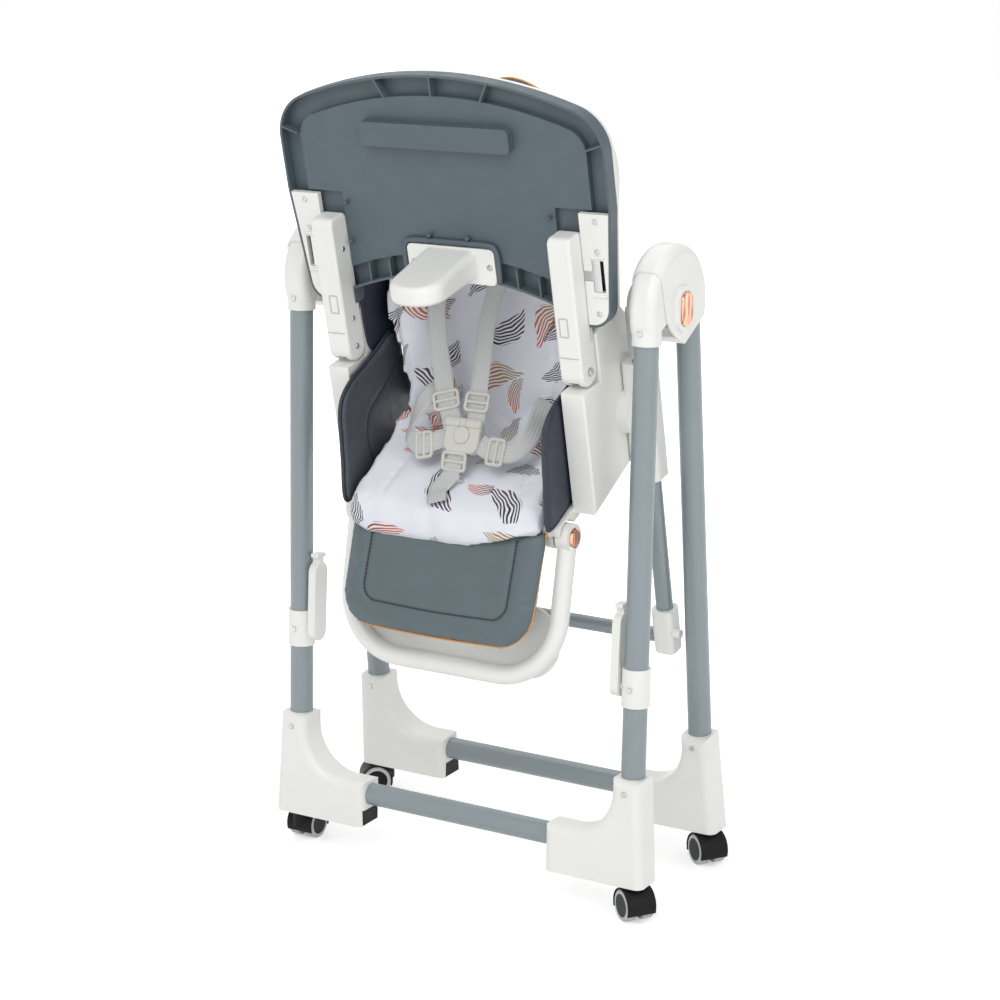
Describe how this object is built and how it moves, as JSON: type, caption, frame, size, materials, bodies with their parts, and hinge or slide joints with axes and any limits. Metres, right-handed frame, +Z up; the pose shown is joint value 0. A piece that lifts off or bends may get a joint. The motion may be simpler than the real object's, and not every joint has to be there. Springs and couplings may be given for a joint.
{
  "type": "baby high chair",
  "caption": "Folding baby high chair on swivel casters with tubular legs, reclining padded seat with harness, height slide, footrest and flip-up slide-off tray.",
  "frame": {"origin": "on the floor under the centre of the bounding box, with the frame folded and the tray flipped up", "axes": "+X to the seated child's left, +Y to the back, +Z up"},
  "size_m": [0.5734, 0.3486, 1.0287],
  "materials": {
    "tube": "satin grey powder coat",
    "white_plastic": "satin moulded white",
    "slate_plastic": "fine matte grain",
    "light_grey_plastic": "matte",
    "black_plastic": "matte",
    "tyre": "smooth pale tread",
    "steel": "bright zinc",
    "rose_gold": "metallised rose gold",
    "liner": "printed woven cloth over wadding",
    "dark_leather": "stitched imitation leather over foam",
    "strap": "woven webbing",
    "buckle": "matte"
  },
  "bodies": {
    "front_frame": {"front_leg_left": "tube", "front_leg_right": "tube", "front_bar": "tube", "front_feet": "white_plastic", "front_foot_plugs": "black_plastic", "front_sockets": "white_plastic", "front_collars": "white_plastic", "hub_axles": "steel", "front_screws": "steel"},
    "rear_frame": {"rear_leg_left": "tube", "rear_leg_right": "tube", "rear_bar": "tube", "rear_feet": "white_plastic", "rear_foot_plugs": "black_plastic", "hub_domes": "white_plastic", "rear_screws": "steel"},
    "fold_button_left": {"fold_button_left": "rose_gold"},
    "fold_button_right": {"fold_button_right": "rose_gold"},
    "swing_frame": {"swing_tubes": "tube", "swing_bar": "tube", "swing_heads": "light_grey_plastic", "swing_ends": "white_plastic"},
    "link_arm_left": {"link_arm_left": "white_plastic"},
    "link_arm_right": {"link_arm_right": "white_plastic"},
    "seat": {"side_panel_left": "white_plastic", "side_panel_right": "white_plastic", "height_sliders": "white_plastic", "seat_shell": "white_plastic", "seat_liner": "liner", "seat_wings": "dark_leather", "lap_straps": "strap", "harness_buckle": "buckle"},
    "height_trigger_left": {"height_trigger_left": "light_grey_plastic"},
    "height_trigger_right": {"height_trigger_right": "light_grey_plastic"},
    "buckle_button": {"buckle_button": "buckle"},
    "backrest": {"backrest_shell": "white_plastic", "backrest_liner": "liner", "shoulder_straps": "strap"},
    "recline_lever": {"recline_lever": "light_grey_plastic"},
    "footrest": {"footrest_frame": "white_plastic", "leg_pad": "dark_leather"},
    "footrest_button_left": {"footrest_button_left": "rose_gold"},
    "footrest_button_right": {"footrest_button_right": "rose_gold"},
    "tray_arms": {"tray_arm_left": "white_plastic", "tray_arm_right": "white_plastic", "arm_pins": "steel"},
    "tray": {"tray_body": "slate_plastic", "tray_rails": "white_plastic", "crotch_post": "white_plastic", "top_tray": "white_plastic"},
    "tray_catch_left": {"tray_catch_left": "light_grey_plastic"},
    "tray_catch_right": {"tray_catch_right": "light_grey_plastic"},
    "caster_front_left": {"caster_hood_front_left": "black_plastic"},
    "wheels_front_left": {"caster_wheels_front_left": "tyre"},
    "caster_front_right": {"caster_hood_front_right": "black_plastic"},
    "wheels_front_right": {"caster_wheels_front_right": "tyre"},
    "caster_rear_left": {"caster_hood_rear_left": "black_plastic"},
    "wheels_rear_left": {"caster_wheels_rear_left": "tyre"},
    "caster_rear_right": {"caster_hood_rear_right": "black_plastic"},
    "wheels_rear_right": {"caster_wheels_rear_right": "tyre"}
  },
  "joints": [
    {"name": "frame_fold", "type": "hinge", "parent": "front_frame", "child": "rear_frame", "pos_m": [0, 0.01905, 0.755], "axis": [1, 0, 0], "range_deg": [0, 32]},
    {"name": "fold_button_left_press", "type": "slide", "parent": "rear_frame", "child": "fold_button_left", "axis": [-1, 0, 0], "range_m": [0, 0.004], "stiffness_N_per_m": 300},
    {"name": "fold_button_right_press", "type": "slide", "parent": "rear_frame", "child": "fold_button_right", "axis": [1, 0, 0], "range_m": [0, 0.004], "stiffness_N_per_m": 300},
    {"name": "seat_swing", "type": "hinge", "parent": "front_frame", "child": "swing_frame", "pos_m": [0, 0.01905, 0.755], "axis": [1, 0, 0], "range_deg": [-10, 0]},
    {"name": "seat_height", "type": "slide", "parent": "swing_frame", "child": "seat", "axis": [0, -0.2215, 0.9751], "range_m": [-0.15, 0]},
    {"name": "height_trigger_left_press", "type": "slide", "parent": "seat", "child": "height_trigger_left", "axis": [0, -0.9751, -0.2215], "range_m": [0, 0.003], "stiffness_N_per_m": 300},
    {"name": "height_trigger_right_press", "type": "slide", "parent": "seat", "child": "height_trigger_right", "axis": [0, -0.9751, -0.2215], "range_m": [0, 0.003], "stiffness_N_per_m": 300},
    {"name": "buckle_button_press", "type": "slide", "parent": "seat", "child": "buckle_button", "axis": [0, 0.9259, -0.3778], "range_m": [0, 0.003], "stiffness_N_per_m": 300},
    {"name": "backrest_recline", "type": "hinge", "parent": "seat", "child": "backrest", "pos_m": [0, 0.0568, 0.57079], "axis": [-1, 0, 0], "range_deg": [0, 40]},
    {"name": "recline_lever_pull", "type": "slide", "parent": "backrest", "child": "recline_lever", "axis": [0, 0.0209, 0.9998], "range_m": [0, 0.006], "stiffness_N_per_m": 300},
    {"name": "footrest_tilt", "type": "hinge", "parent": "seat", "child": "footrest", "pos_m": [0, -0.04967, 0.47071], "axis": [1, 0, 0], "range_deg": [-45, 20]},
    {"name": "footrest_button_left_press", "type": "slide", "parent": "footrest", "child": "footrest_button_left", "axis": [-1, 0, 0], "range_m": [0, 0.002], "stiffness_N_per_m": 300},
    {"name": "footrest_button_right_press", "type": "slide", "parent": "footrest", "child": "footrest_button_right", "axis": [1, 0, 0], "range_m": [0, 0.002], "stiffness_N_per_m": 300},
    {"name": "tray_flip", "type": "hinge", "parent": "seat", "child": "tray_arms", "pos_m": [0, -0.05125, 0.67852], "axis": [1, 0, 0], "range_deg": [0, 90]},
    {"name": "tray_slide", "type": "slide", "parent": "tray_arms", "child": "tray", "axis": [0, -0.2215, 0.9751], "range_m": [0, 0.05]},
    {"name": "tray_catch_left_pull", "type": "slide", "parent": "tray", "child": "tray_catch_left", "axis": [1, 0, 0], "range_m": [0, 0.005], "stiffness_N_per_m": 300},
    {"name": "tray_catch_right_pull", "type": "slide", "parent": "tray", "child": "tray_catch_right", "axis": [-1, 0, 0], "range_m": [0, 0.005], "stiffness_N_per_m": 300},
    {"name": "link_left_turn", "type": "hinge", "parent": "front_frame", "child": "link_arm_left", "pos_m": [0, -0.04768, 0.293], "axis": [1, 0, 0], "range_deg": [-45, 10]},
    {"name": "link_right_turn", "type": "hinge", "parent": "front_frame", "child": "link_arm_right", "pos_m": [0, -0.04768, 0.293], "axis": [1, 0, 0], "range_deg": [-45, 10]},
    {"name": "swivel_front_left", "type": "hinge", "parent": "front_frame", "child": "caster_front_left", "pos_m": [0.2465, -0.05638, 0.044], "axis": [0, 0, 1], "continuous": true},
    {"name": "roll_front_left", "type": "hinge", "parent": "caster_front_left", "child": "wheels_front_left", "pos_m": [0.25768, -0.0648, 0.02], "axis": [-0.6018, -0.7986, 0], "continuous": true},
    {"name": "swivel_front_right", "type": "hinge", "parent": "front_frame", "child": "caster_front_right", "pos_m": [-0.2465, -0.05638, 0.044], "axis": [0, 0, 1], "continuous": true},
    {"name": "roll_front_right", "type": "hinge", "parent": "caster_front_right", "child": "wheels_front_right", "pos_m": [-0.2465, -0.04238, 0.02], "axis": [1, 0, 0], "continuous": true},
    {"name": "swivel_rear_left", "type": "hinge", "parent": "rear_frame", "child": "caster_rear_left", "pos_m": [0.2465, 0.15079, 0.044], "axis": [0, 0, 1], "continuous": true},
    {"name": "roll_rear_left", "type": "hinge", "parent": "caster_rear_left", "child": "wheels_rear_left", "pos_m": [0.25768, 0.14236, 0.02], "axis": [-0.6018, -0.7986, 0], "continuous": true},
    {"name": "swivel_rear_right", "type": "hinge", "parent": "rear_frame", "child": "caster_rear_right", "pos_m": [-0.2465, 0.15079, 0.044], "axis": [0, 0, 1], "continuous": true},
    {"name": "roll_rear_right", "type": "hinge", "parent": "caster_rear_right", "child": "wheels_rear_right", "pos_m": [-0.25768, 0.14236, 0.02], "axis": [-0.6018, 0.7986, 0], "continuous": true}
  ]
}
